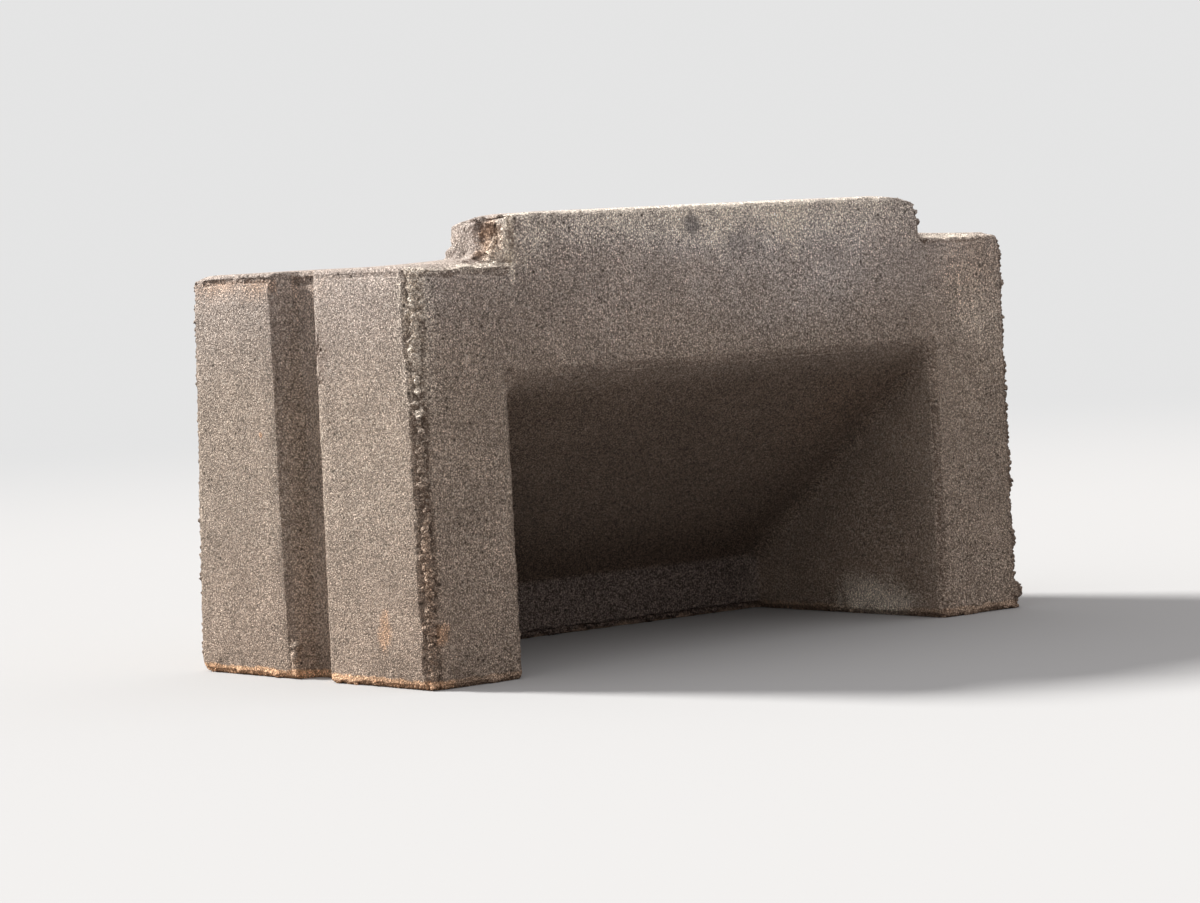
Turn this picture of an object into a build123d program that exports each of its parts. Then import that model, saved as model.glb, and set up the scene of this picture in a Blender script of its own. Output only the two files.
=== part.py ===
"""Interlocking concrete block, cast in one piece, with a scooped front and a lip on top.

X runs along the block, the open side faces -Y and +Z is up. The origin lies on the
ground, under the middle of the block. Sizes are in millimetres.
"""
import os

from build123d import *

# The body, which stands on its two legs and on the foot of its back wall
block_length = 395.0
body_height = 200.0
foot_depth = 195.0
back_batter = 12.5

# The scoop, open to the front and to the ground
leg_width = 56.5
mouth_height = 145.0
back_wall = 50.0
strip_height = 30.0

# The lip along the front of the top, which enters the scoop of a block laid above
lip_height = 23.0
lip_thickness = 45.0
lip_clearance = 1.0
lip_root = 12.0

# The wear and the break that the lip carries
right_lean = 4.5
right_wear_radius = 11.0
break_width = 4.5
break_run = 24.0
rear_wear_drop = 5.0
rear_wear_run = 22.0

# The key groove in each end, wider at the top than at the foot
groove_depth = 12.0
groove_rear = 113.5
groove_top_width = 34.5
groove_foot_width = 31.0
groove_flare = 6.0

# Rounding of arrises and inner corners
corner_radius = 2.0
arris_radius = 1.8
foot_radius = 1.5
lip_radius = 2.0
rim_radius = 4.0
valley_radius = 7.0
strip_radius = 3.0
groove_front_radius = 1.2
groove_rear_radius = 3.5

# How far a cutter stands out of the block
overrun = 20.0

# Places worked out from the sizes
end_x = block_length / 2
front_y = -foot_depth / 2
rear_y = foot_depth / 2
scoop_width = block_length - 2 * leg_width
scoop_depth = foot_depth - back_wall
scoop_back_y = front_y + scoop_depth
ramp_slope = (mouth_height - strip_height) / scoop_depth
lip_end = scoop_width / 2 - lip_clearance
lip_top = body_height + lip_height
lip_back_y = front_y + lip_thickness


def upright(edge):
    """Say whether an edge runs from foot to top, plumb or leaning a little."""
    return abs(edge.tangent_at(0.5).Z) > 0.9


# The hollow: a ramp that falls from the mouth to a low upright strip on the back wall
with BuildPart() as scoop:
    with BuildSketch(Plane.YZ) as scoop_section:
        with BuildLine():
            Polyline(
                (front_y - overrun, -overrun),
                (scoop_back_y, -overrun),
                (scoop_back_y, strip_height),
                (front_y - overrun, mouth_height + overrun * ramp_slope),
                close=True,
            )
        make_face()
    extrude(amount=scoop_width / 2, both=True)
    ramp = scoop.faces().sort_by(Axis.Z)[-1]
    fillet(ramp.edges().filter_by(Axis.X, reverse=True), valley_radius)
    ramp_foot = scoop.edges().filter_by(Axis.X).filter_by_position(Axis.Z, strip_height, strip_height)
    fillet(ramp_foot, strip_radius)


def groove_section(height):
    """Draw the left end's groove in plan, as wide as it is at a height, with a rounded mouth."""
    widening = (groove_top_width - groove_foot_width) / body_height
    rear = front_y + groove_rear
    front = rear - groove_foot_width - widening * height
    floor_x = -end_x + groove_depth
    with BuildSketch(Plane.XY.offset(height)) as section:
        with BuildLine():
            Polyline(
                (-end_x - overrun, rear + groove_rear_radius),
                (-end_x, rear + groove_rear_radius),
                (-end_x, rear),
                (floor_x, rear - groove_flare),
                (floor_x, front + groove_flare),
                (-end_x, front),
                (-end_x, front - groove_front_radius),
                (-end_x - overrun, front - groove_front_radius),
                close=True,
            )
        make_face()
        fillet(section.vertices().group_by(Axis.X)[1].sort_by(Axis.Y)[1], groove_front_radius)
        fillet(section.vertices().group_by(Axis.X)[1].sort_by(Axis.Y)[-2], groove_rear_radius)
    return section.sketch


# One groove cutter, for the left end
with BuildPart() as groove:
    add(groove_section(-overrun))
    add(groove_section(body_height + overrun))
    loft()


def rear_wear_plane():
    """Place the plane that cuts the lip's rear corner at the left end, its normal outward."""
    corner = Vector(-lip_end, lip_back_y, lip_top - rear_wear_drop)
    along_end = Vector(-lip_end, lip_back_y - rear_wear_run, lip_top)
    along_rear = Vector(-lip_end + rear_wear_run, lip_back_y, lip_top)
    return Plane(origin=corner, z_dir=(along_end - corner).cross(along_rear - corner))


# The lip as it left the mould, less its worn right end and its broken left end
with BuildPart() as lip:
    with BuildSketch(Plane.XZ.offset(-front_y)) as lip_front:
        with BuildLine():
            Polyline(
                (-lip_end, body_height - lip_root),
                (lip_end, body_height - lip_root),
                (lip_end, body_height),
                (lip_end - right_lean, lip_top),
                (-lip_end, lip_top),
                close=True,
            )
        make_face()
        worn_corner = lip_front.vertices().group_by(Axis.Y)[-1].sort_by(Axis.X)[-1]
        fillet(worn_corner, right_wear_radius)
    extrude(amount=-lip_thickness)
    front_face = lip.faces().sort_by(Axis.Y)[0]
    broken_edge = lip.edges().filter_by(Axis.Z).sort_by(Axis.Y)[0]
    chamfer(broken_edge, length=break_width, length2=break_run, reference=front_face)
    split(bisect_by=rear_wear_plane(), keep=Keep.BOTTOM)
    fillet(lip.edges().group_by(Axis.Z)[-1].filter_by(Axis.X), lip_radius)

# The block itself
with BuildPart() as concrete_block:
    with BuildSketch(Plane.YZ) as side_view:
        with BuildLine():
            Polyline(
                (front_y, 0),
                (rear_y, 0),
                (rear_y - back_batter, body_height),
                (front_y, body_height),
                close=True,
            )
        make_face()
    extrude(amount=end_x, both=True)
    corners = concrete_block.edges().filter_by(upright)
    fillet(corners, corner_radius)
    top_face = concrete_block.faces().sort_by(Axis.Z)[-1]
    fillet(top_face.edges(), arris_radius)
    add(scoop.part, mode=Mode.SUBTRACT)
    front_edges = concrete_block.edges().filter_by_position(Axis.Y, front_y, front_y)
    rim = front_edges.filter_by_position(Axis.X, -scoop_width / 2, scoop_width / 2)
    fillet(rim.filter_by_position(Axis.Z, 0, mouth_height), rim_radius)
    foot_face = concrete_block.faces().sort_by(Axis.Z)[0]
    fillet(foot_face.edges(), foot_radius)
    add(groove.part, mode=Mode.SUBTRACT)
    add(mirror(groove.part, about=Plane.YZ), mode=Mode.SUBTRACT)
    add(lip.part)

os.makedirs("parts", exist_ok=True)
concrete_block.part.label = "concrete_block"
export_step(concrete_block.part, "parts/concrete_block.step")
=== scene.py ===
"""Looks of a worn concrete block, cast in one piece, with a scooped front and a lip on top.

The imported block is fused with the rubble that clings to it, weathered along its
arrises and dressed in one sandy concrete. Places are in the block's own frame: X runs
along it, the open side faces -Y, +Z is up. Lengths are in metres unless a name says mm.
"""

import logging
import math
from collections.abc import Sequence
from dataclasses import dataclass
from enum import Enum
from functools import cached_property

import bmesh
import bpy
import numpy as np
from mathutils import Matrix, Vector


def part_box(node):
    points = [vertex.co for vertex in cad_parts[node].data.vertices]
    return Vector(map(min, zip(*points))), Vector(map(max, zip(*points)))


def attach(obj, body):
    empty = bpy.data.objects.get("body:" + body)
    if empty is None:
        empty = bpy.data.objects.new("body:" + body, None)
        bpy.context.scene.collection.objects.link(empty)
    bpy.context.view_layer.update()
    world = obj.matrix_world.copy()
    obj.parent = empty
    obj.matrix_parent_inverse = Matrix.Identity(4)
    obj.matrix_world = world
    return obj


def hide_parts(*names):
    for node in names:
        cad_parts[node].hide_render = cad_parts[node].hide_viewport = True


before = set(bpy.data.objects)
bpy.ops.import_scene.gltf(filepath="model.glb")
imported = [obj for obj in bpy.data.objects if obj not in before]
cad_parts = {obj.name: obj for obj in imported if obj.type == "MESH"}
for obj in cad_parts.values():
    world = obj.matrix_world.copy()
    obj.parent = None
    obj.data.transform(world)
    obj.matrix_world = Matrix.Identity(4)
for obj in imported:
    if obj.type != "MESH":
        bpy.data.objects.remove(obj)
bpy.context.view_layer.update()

log = logging.getLogger("block")

NODE = "concrete_block"
BODY = "root"

# The multipliers that scramble whole numbers into fixed random values
CELL_FACTORS = (73856093, 19349663, 83492791)
SEED_FACTOR = 2654435761
SCRAMBLES = ((13, 1274126177), (15, 668265263))

# How far a crumbled band reaches, in widths: its outer rim, its full core and its fray
BAND_RIM = 1.15
BAND_CORE = 0.60
BAND_FRAY = 0.35

Colour = tuple[float, float, float]
Place = tuple[float, float, float]


class Tint(Enum):
    """The kinds of colour that lie over the plain concrete, stains and painted shade and highlights alike,
    each kept as a mesh attribute.
    """

    OCHRE = "ochre"
    # Pale bloom and crumbs, also painted highlights on lit edges and on the lip's broken end
    CHALK_AND_HIGHLIGHT = "chalk"
    # Dark smudges, also painted shade on the strip at the back of the hollow
    SOOT_AND_SHADE = "soot"
    SLATE = "slate"
    # Brown, also painted shade deep in the hollow and in the top of the left groove
    UMBER_AND_SHADE = "umber"
    RAW = "raw"
    # Painted shade between crumbs and in broken parts
    CREVICE_SHADE = "crevice"
    FOOT = "foot"


def lattice_value(cells: np.ndarray, seed: int) -> np.ndarray:
    """Give each whole-numbered cell a fixed random value.

    Args:
        cells: whole numbers, three to a row.
        seed: which set of values to take.

    Returns:
        One value from 0 to 1 for each row.
    """
    mixed = seed * SEED_FACTOR
    for axis, factor in enumerate(CELL_FACTORS):
        mixed = mixed ^ (cells[:, axis].astype(np.int64) * factor)
    for shift, factor in SCRAMBLES:
        mixed = ((mixed ^ (mixed >> shift)) * factor) & 0x7FFFFFFF
    return ((mixed >> 7) & 0xFFFFFF) / float(0xFFFFFF)


def soft_noise(points: np.ndarray, size: float, seed: int) -> np.ndarray:
    """Sample a smooth noise.

    Args:
        points: places, three to a row.
        size: the length of one swell of the noise.
        seed: which noise to take.

    Returns:
        One value from -1 to 1 for each place.
    """
    scaled = points / size
    base = np.floor(scaled)
    part = scaled - base
    ease = part * part * (3 - 2 * part)
    total = np.zeros(len(points))
    for corner in np.ndindex(2, 2, 2):
        weight = np.prod(np.where(corner, ease, 1 - ease), axis=1)
        total += weight * lattice_value(base + corner, seed)
    return total * 2 - 1


def layered_noise(
    points: np.ndarray, size: float, layers: int, seed: int, gain: float = 1.6
) -> np.ndarray:
    """Add noises of halving size and strength.

    Args:
        points: places, three to a row.
        size: the length of the largest swell.
        layers: how many noises are added.
        seed: which noises to take.
        gain: what brings the sum out to its full range.

    Returns:
        One value of about -1 to 1 for each place.
    """
    total = np.zeros(len(points))
    reach = 0.0
    for layer in range(layers):
        strength = 0.5**layer
        total += strength * soft_noise(points, size / 2**layer, seed + layer)
        reach += strength
    return total / reach * gain


def grain_bulge(points: np.ndarray, size: float, seed: int) -> np.ndarray:
    """Say how far each place bulges where it lies on a packing of round grains.

    Args:
        points: places, three to a row.
        size: the spacing of the grains.
        seed: which packing to take.

    Returns:
        From 0 between the grains to as much as 1 at the middle of a grain.
    """
    scaled = points / size
    base = np.floor(scaled)
    nearest = np.full(len(points), np.inf)
    stand = np.zeros(len(points))
    for step in np.ndindex(3, 3, 3):
        cell = base + np.array(step) - 1
        middle = np.stack([lattice_value(cell, seed + axis) for axis in range(3)], axis=1)
        gap = np.linalg.norm(cell + 0.10 + 0.8 * middle - scaled, axis=1)
        stand = np.where(gap < nearest, lattice_value(cell, seed + 3), stand)
        nearest = np.minimum(nearest, gap)
    return np.clip(1.5 - 2.0 * nearest, 0, 1) * (0.35 + 0.65 * stand)


def lift(values: np.ndarray, near: np.ndarray, least: np.ndarray) -> None:
    """Raise the values at some indices to what is given, where they are lower."""
    values[near] = np.maximum(values[near], least)


def add_object(name: str, data: bpy.types.ID) -> bpy.types.Object:
    """Put a new object in the scene.

    Args:
        name: the object's name.
        data: its mesh, lamp or camera.

    Returns:
        The object.
    """
    made = bpy.data.objects.new(name, data)
    bpy.context.scene.collection.objects.link(made)
    return made


def line_distance(places: np.ndarray, start: Sequence[float], end: Sequence[float]) -> np.ndarray:
    """Measure how far places lie from a line with two ends.

    Args:
        places: the places, three to a row.
        start: the line's one end.
        end: its other end, which may be the same.

    Returns:
        One distance for each place.
    """
    along = np.array(end) - np.array(start)
    away = places - np.array(start)
    part = np.clip(away @ along / max(float(along @ along), 1e-12), 0, 1)
    return np.linalg.norm(away - part[:, None] * along, axis=1)


def ramp(values: np.ndarray, low: float, high: float) -> np.ndarray:
    """Ease from 0 at low to 1 at high.

    Args:
        values: what is eased.
        low: where the ramp starts.
        high: where it ends, above or below low.

    Returns:
        From 0 to 1 for each value.
    """
    part = np.clip((values - low) / (high - low), 0, 1)
    return part * part * (3 - 2 * part)


@dataclass(frozen=True)
class BlockSizes:
    """The block's sizes that its box doesn't give, as they are in the solid."""

    body_height: float = 0.200
    back_batter: float = 0.0125
    leg_width: float = 0.0565
    mouth_height: float = 0.145
    back_wall: float = 0.050
    strip_height: float = 0.030
    lip_thickness: float = 0.045
    lip_clearance: float = 0.001
    groove_depth: float = 0.012
    groove_rear: float = 0.1135
    groove_top_width: float = 0.0345
    groove_foot_width: float = 0.031

    @property
    def low(self) -> Vector:
        """The lowest corner of the block's box."""
        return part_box(NODE)[0]

    @property
    def high(self) -> Vector:
        """The highest corner of the block's box."""
        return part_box(NODE)[1]

    @property
    def inner_x(self) -> float:
        """How far the legs' inner faces lie from the middle."""
        return self.high.x - self.leg_width

    @property
    def lip_x(self) -> float:
        """How far the lip's ends lie from the middle."""
        return self.inner_x - self.lip_clearance

    @property
    def lip_back(self) -> float:
        """The Y of the lip's rear face."""
        return self.low.y + self.lip_thickness

    @property
    def groove_rear_y(self) -> float:
        """The Y of the key grooves' rear rim."""
        return self.low.y + self.groove_rear

    @property
    def wall_y(self) -> float:
        """The Y of the back wall's face inside the scoop."""
        return self.high.y - self.back_wall


@dataclass(frozen=True)
class Lump:
    """One clod of mortar and stone that stands on the casting."""

    middle: Place
    radius: float
    squash: float = 0.7


@dataclass(frozen=True)
class Bite:
    """One place where a piece has broken out, as a rough ball carved from the casting."""

    middle: Place
    radius: float
    roughness: float = 0.2
    stretch: Place = (1.0, 1.0, 1.0)


@dataclass(frozen=True)
class Wear:
    """One corner or arris that is worn off to a plane, rounded where that meets the faces.

    The plane passes through start, and the wear reaches that far from the line to end.
    """

    start: Place
    end: Place
    outward: Place
    reach: float
    rounding: float = 0.0012
    roughness: float = 0.0006


@dataclass(frozen=True)
class Arris:
    """One line along which the casting has crumbled.

    The crumbling reaches width from the line, goes depth deep where it is worst and
    leaves crumbs of the given size standing. Rough lines are carved on a finer mesh.
    Where burrs is above 0, parts of the line stand out by as much.
    """

    start: Place
    end: Place
    width: float
    depth: float
    crumb: float
    rough: bool = False
    burrs: float = 0.0

    def distance(self, places: np.ndarray) -> np.ndarray:
        """Measure how far places, three to a row, lie from the line."""
        return line_distance(places, self.start, self.end)

    def reach(self, places: np.ndarray, ragged: np.ndarray) -> np.ndarray:
        """Say how far each place lies in the crumbled band.

        Args:
            places: the vertices, three to a row.
            ragged: a noise from -1 to 1 at each of them, which frays the band's rim.

        Returns:
            From 0 outside the band to 1 at the line.
        """
        gap = self.distance(places)
        core = self.width * BAND_CORE
        frayed_rim = self.width * (1 + BAND_FRAY * ragged)
        return ramp(gap, self.width * BAND_RIM, core) * ramp(gap, frayed_rim, core)


@dataclass(frozen=True)
class Stain:
    """A patch of colour, soft at its rim."""

    tint: Tint
    middle: Place
    radii: Place
    strength: float


class MeshData:
    """A mesh held as arrays while it is carved."""

    def __init__(self, mesh: bpy.types.Mesh) -> None:
        """Read a mesh.

        Args:
            mesh: the mesh to carve.
        """
        self.mesh = mesh
        count = len(mesh.vertices)
        self.places = np.empty(count * 3)
        mesh.vertices.foreach_get("co", self.places)
        self.places = self.places.reshape(-1, 3)
        self.edges = np.empty(len(mesh.edges) * 2, dtype=np.int64)
        mesh.edges.foreach_get("vertices", self.edges)
        self.edges = self.edges.reshape(-1, 2)

    def normals(self) -> np.ndarray:
        """Give the unit normals of the mesh as last written.

        Returns:
            One for each vertex, three numbers to a row.
        """
        found = np.empty(len(self.places) * 3, dtype=np.float32)
        self.mesh.vertex_normals.foreach_get("vector", found)
        return found.reshape(-1, 3).astype(float)

    def softened(self, values: np.ndarray, rounds: int) -> np.ndarray:
        """Average values over the mesh, each with its neighbours'.

        Args:
            values: one row for each vertex.
            rounds: how often each is averaged.

        Returns:
            The averaged rows.
        """
        first, second = self.edges.T
        count = len(self.places)
        degree = np.bincount(first, minlength=count) + np.bincount(second, minlength=count)
        columns = values.reshape(count, -1).T.copy()
        for _ in range(rounds):
            columns = np.array([
                (
                    np.bincount(first, weights=column[second], minlength=count)
                    + np.bincount(second, weights=column[first], minlength=count)
                )
                / degree
                for column in columns
            ])
        return columns.T.reshape(values.shape)

    def write(self) -> None:
        """Put the carved places back into the mesh."""
        self.mesh.vertices.foreach_set("co", self.places.astype(np.float32).ravel())
        self.mesh.update()


@dataclass
class CastBlock:
    """The one cast piece: its fused rubble, crumbled arrises, breaks, stains and painted shade and
    highlights.
    """

    sizes: BlockSizes
    carved_tints: tuple[Tint, ...] = (Tint.RAW, Tint.CREVICE_SHADE)
    grid: float = 0.0013
    triangle_limit: int = 190_000
    swell_size: float = 0.045
    swell_height: float = 0.00015
    full_depth: float = 0.0018
    bite_crumb: float = 0.0027
    left_sweep: float = 0.0022
    left_sweep_run: float = 0.025
    right_sweep: float = 0.0029
    right_sweep_run: float = 0.052

    def main_arris(self) -> tuple[Place, Place]:
        """Give the ends of the upright arris that crumbled most, front left."""
        low = self.sizes.low
        return (low.x, low.y, 0.0), (low.x, low.y, self.sizes.body_height)

    def arrises(self) -> list[Arris]:
        """List the crumbled lines: of the body, the lip, each end and the scoop.

        Returns:
            The lines, which may cross.
        """
        s = self.sizes
        left, right, front, rear = s.low.x, s.high.x, s.low.y, s.high.y
        foot, top, crest = 0.0, s.body_height, s.high.z
        lip, lip_back, rear_top = s.lip_x, s.lip_back, rear - s.back_batter
        lines = [
            Arris((left, front, foot), (left, front, 0.120), 0.0078, 0.0026, 0.0031, True),
            Arris((left, front, 0.115), (left, front, 0.165), 0.0084, 0.0027, 0.0032, True),
            Arris((left, front, 0.160), (left, front, top), 0.0094, 0.0029, 0.0034, True),
            Arris((right, front, foot), (right, front, top), 0.0046, 0.0008, 0.0020, True, 0.0013),
            Arris((left, rear, foot), (left, rear_top, top), 0.0036, 0.0007, 0.0022, True, 0.0007),
            Arris((right, rear, foot), (right, rear_top, top), 0.0044, 0.0014, 0.0024),
            Arris(
                (left, front, top - 0.0030), (-0.170, front, top - 0.0046),
                0.0032, 0.0010, 0.0026, True,
            ),
            Arris(
                (-0.172, front, top - 0.0028), (-lip, front, top - 0.0050),
                0.0032, 0.0008, 0.0026, True,
            ),
            Arris(
                (lip, front, top - 0.0022), (right - 0.010, front, top - 0.0014),
                0.0026, 0.0008, 0.0018, True,
            ),
            Arris((left, rear_top, top), (right, rear_top, top), 0.0040, 0.0012, 0.0024),
            Arris((left, front, top), (left, rear_top, top), 0.0026, 0.0005, 0.0016),
            Arris((right, front, top), (right, rear_top, top), 0.0042, 0.0013, 0.0024),
            Arris((left, 0.019, top - 0.0036), (left, 0.044, top - 0.0032), 0.0021, 0.0010, 0.0016, True),
            Arris(
                (left, 0.048, top - 0.0034), (left, rear_top - 0.012, top - 0.0040),
                0.0021, 0.0008, 0.0016, True,
            ),
            Arris(
                (left, front + 0.010, top - 0.0034), (left, -0.021, top - 0.0032),
                0.0016, 0.0005, 0.0014, True,
            ),
        ]
        lines += [
            Arris((-lip, front, crest), (lip - 0.012, front, crest), 0.0026, 0.0006, 0.0018, True),
            Arris((-lip, lip_back, crest), (lip, lip_back, crest), 0.0036, 0.0012, 0.0022),
            Arris((-lip, front, crest), (-lip, -0.064, crest), 0.0050, 0.0018, 0.0024, True),
            Arris((-lip, front, top), (-lip, front, crest), 0.0062, 0.0020, 0.0027, True),
            Arris(
                (lip, front, top), (lip - 0.004, front, crest - 0.008),
                0.0046, 0.0014, 0.0026, True, 0.0016,
            ),
            Arris((-lip, lip_back, top), (-lip, lip_back, crest), 0.0036, 0.0014, 0.0024),
            Arris((lip, lip_back, top), (lip, lip_back, crest), 0.0040, 0.0014, 0.0024),
        ]
        for side in (-1, 1):
            inner, outer = side * s.inner_x, side * right
            floor_x, rim = outer - side * s.groove_depth, s.groove_rear_y
            foot_rim, top_rim = rim - s.groove_foot_width, rim - s.groove_top_width
            lines += [
                Arris((inner, front, foot), (inner, front, s.mouth_height), 0.0044, 0.0008, 0.0020, True),
                Arris((inner, front, foot), (inner, s.wall_y, foot), 0.0030, 0.0010, 0.0022),
                Arris((inner, front, foot), (outer, front, foot), 0.0030, 0.0004, 0.0018, True, 0.0012),
                Arris((outer, front, foot), (outer, rear, foot), 0.0032, 0.0002, 0.0018, True, 0.0018),
                Arris(
                    (floor_x, rim - 0.005, top - 0.0050), (floor_x, foot_rim, top - 0.0050),
                    0.0028, 0.0010, 0.0014, True,
                ),
                Arris((outer, rim, foot), (outer, rim, top), 0.0026, 0.0006, 0.0018),
                Arris((outer, foot_rim, foot), (outer, top_rim, top), 0.0022, 0.0006, 0.0014, True),
            ]
        inner, mouth = s.inner_x, s.mouth_height
        lines += [
            Arris((-inner, front, mouth), (inner, front, mouth), 0.0030, 0.0005, 0.0018),
            Arris((-inner, s.wall_y, foot), (inner, s.wall_y, foot), 0.0050, 0.0024, 0.0028, True),
            Arris((left, rear, foot), (right, rear, foot), 0.0034, 0.0011, 0.0024),
        ]
        return lines

    def lumps(self) -> list[Lump]:
        """List the clods that stand on the casting.

        Returns:
            Those at the lip's end, on the right arris and at the left groove.
        """
        top, end, lip_back = self.sizes.body_height, -self.sizes.lip_x, self.sizes.lip_back
        left, right, front = self.sizes.low.x, self.sizes.high.x, self.sizes.low.y
        return [
            Lump((end + 0.0005, lip_back - 0.005, top + 0.003), 0.0040),
            Lump((end - 0.0005, lip_back - 0.011, top + 0.001), 0.0034),
            Lump((end - 0.0010, front + 0.026, top + 0.001), 0.0030),
            Lump((end - 0.0010, front + 0.020, top + 0.001), 0.0036),
            Lump((end - 0.0005, front + 0.013, top + 0.001), 0.0040),
            Lump((end - 0.0010, front + 0.007, top + 0.001), 0.0036),
            Lump((right - 0.0012, front + 0.0035, 0.0105), 0.0050, 1.0),
            Lump((right - 0.0010, front + 0.0025, 0.0385), 0.0034, 1.5),
            Lump((left + 0.0012, 0.0130, 0.0165), 0.0021),
            Lump((left + 0.0010, 0.0165, 0.0158), 0.0019),
            Lump((left + 0.0012, 0.0152, 0.0110), 0.0022, 1.1),
            Lump((left + 0.0012, 0.0158, 0.0062), 0.0020, 1.1),
            Lump((left + 0.0012, 0.0148, 0.0025), 0.0022, 1.0),
        ]

    def bites(self) -> list[Bite]:
        """List the places where a piece has broken out.

        Returns:
            Those of the lip, of the left groove and of the two front arrises.
        """
        left, right, front = self.sizes.low.x, self.sizes.high.x, self.sizes.low.y
        end, crest = -self.sizes.lip_x, self.sizes.high.z
        bites = [
            Bite((end - 0.0122, front + 0.011, crest - 0.0095), 0.0150, 0.10, (1.05, 1.10, 0.92)),
            Bite((end - 0.0020, front - 0.002, crest - 0.0100), 0.0075, 0.15, (1.0, 0.9, 1.5)),
            Bite((end - 0.0030, front + 0.020, crest - 0.0060), 0.0050, 0.30),
            Bite((left - 0.0020, -0.0185, 0.162), 0.0036, 0.30),
            Bite((left - 0.0020, -0.0180, 0.146), 0.0030, 0.30),
        ]
        for x, height, radius in (
            (left - 0.0010, 0.153, 0.0050),
            (left - 0.0010, 0.096, 0.0044),
            (left - 0.0010, 0.061, 0.0040),
            (right + 0.0020, 0.073, 0.0046),
            (right + 0.0020, 0.105, 0.0042),
            (right + 0.0020, 0.031, 0.0036),
        ):
            bites.append(Bite((x, front - 0.001, height), radius, 0.30))
        return bites

    def wears(self) -> list[Wear]:
        """List what is worn off.

        Returns:
            The corners, then the slopes along the front's top edges.
        """
        s = self.sizes
        left, right, front, rear = s.low.x, s.high.x, s.low.y, s.high.y
        top, crest, end, rear_top = s.body_height, s.high.z, -s.lip_x, rear - s.back_batter
        corners = [
            ((left, rear_top - 0.0050, top - 0.0022), (-0.25, 0.42, 0.87), 0.020, 0.0014, 0.0005),
            ((left, rear - 0.0028, 0.0044), (-0.45, 0.68, -0.58), 0.020, 0.0012, 0.0006),
            ((right - 0.0022, front, top - 0.0022), (0.70, -0.20, 0.70), 0.014, 0.0012, 0.0006),
            ((end + 0.0060, s.lip_back, crest - 0.0030), (-0.30, 0.35, 0.88), 0.030, 0.0014, 0.0004),
            ((end, front + 0.028, crest - 0.0021), (-0.16, 0.03, 0.98), 0.034, 0.0012, 0.0004),
            ((0.123, front, crest - 0.0012), (0.30, 0.0, 0.95), 0.026, 0.0014, 0.0006),
        ]
        slopes = [
            (left, end, top - 0.0026, (0.0, -0.26, 0.966), 0.015, 0.0009, 0.0010),
            (-end, right, top - 0.0009, (0.0, -0.20, 0.98), 0.010, 0.0006, 0.0008),
            (end, 0.128, crest - 0.0017, (0.0, -0.33, 0.94), 0.009, 0.0006, 0.0006),
        ]
        wears = [Wear(place, place, *rest) for place, *rest in corners]
        wears += [Wear((x, front, z), (end_x, front, z), *rest) for x, end_x, z, *rest in slopes]
        return wears

    def stains(self) -> list[Stain]:
        """List the patches of colour that the mesh carries.

        Returns:
            The patches, tint by tint.
        """
        left, right, front = self.sizes.low.x, self.sizes.high.x, self.sizes.low.y
        top, crest = self.sizes.body_height, self.sizes.high.z
        patches = {
            Tint.CHALK_AND_HIGHLIGHT: [
                ((left, 0.0155, 0.010), (0.004, 0.0030, 0.009), 0.35),
                ((0.178, front, 0.165), (0.030, 0.010, 0.036), 0.38),
                ((0.170, front, 0.020), (0.050, 0.010, 0.040), 0.20),
                ((-0.165, front, 0.030), (0.040, 0.010, 0.050), 0.18),
                ((0.010, front, 0.216), (0.170, 0.012, 0.013), 0.85),
                # Painted highlight along the lip's lit front crest
                ((-0.005, front + 0.001, crest), (0.170, 0.004, 0.0022), 1.0),
                ((0.141, -0.045, 0.007), (0.012, 0.028, 0.008), 1.8),
                ((-0.124, front, 0.214), (0.016, 0.010, 0.012), 0.25),
                # Painted light on the lip's broken left end, where the rear facet shades it
                ((-0.139, front + 0.009, 0.206), (0.007, 0.010, 0.012), 0.80),
                # Painted highlights along the lit top front edges of both shoulders
                ((-0.150, front + 0.001, top), (0.024, 0.008, 0.005), 1.0),
                ((-0.185, front + 0.001, top), (0.016, 0.006, 0.004), 0.6),
                ((0.165, front + 0.003, top + 0.001), (0.034, 0.008, 0.003), 0.9),
                # Pale crumbs on the front left arris, brightened further as painted light where the arris
                # lies in shade
                ((left, front, 0.183), (0.010, 0.009, 0.022), 1.6),
                ((left, front, 0.145), (0.008, 0.008, 0.020), 1.2),
                ((left, front, 0.090), (0.006, 0.006, 0.050), 0.30),
            ],
            Tint.OCHRE: [
                ((left, 0.0155, 0.009), (0.004, 0.0030, 0.009), 0.45),
                ((0.105, -0.070, 0.105), (0.030, 0.040, 0.030), 0.22),
                ((0.176, front, 0.182), (0.026, 0.012, 0.022), 0.34),
                ((0.165, front + 0.002, top), (0.040, 0.006, 0.003), 0.22),
                ((left, front, 0.055), (0.0060, 0.0060, 0.070), 0.50),
            ],
            Tint.UMBER_AND_SHADE: [
                # Painted shadow in the top of the left groove, where the lamp reaches in over its rear rim
                ((left + 0.012, -0.012, top - 0.008), (0.003, 0.012, 0.012), 1.0),
                ((-0.172, front, 0.172), (0.014, 0.006, 0.020), 0.16),
                ((left, front, 0.050), (0.0065, 0.0065, 0.080), 0.10),
                ((right, front, 0.060), (0.006, 0.008, 0.080), 0.4),
            ],
            Tint.SLATE: [
                ((0.033, front, 0.188), (0.100, 0.020, 0.034), 0.50),
                ((0.000, front, 0.214), (0.170, 0.030, 0.012), 0.95),
                ((0.100, front, 0.187), (0.040, 0.020, 0.020), 0.16),
                ((left + 0.010, front, 0.185), (0.010, 0.006, 0.012), 0.50),
            ],
        }
        return [Stain(tint, *patch) for tint, rows in patches.items() for patch in rows]

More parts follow.
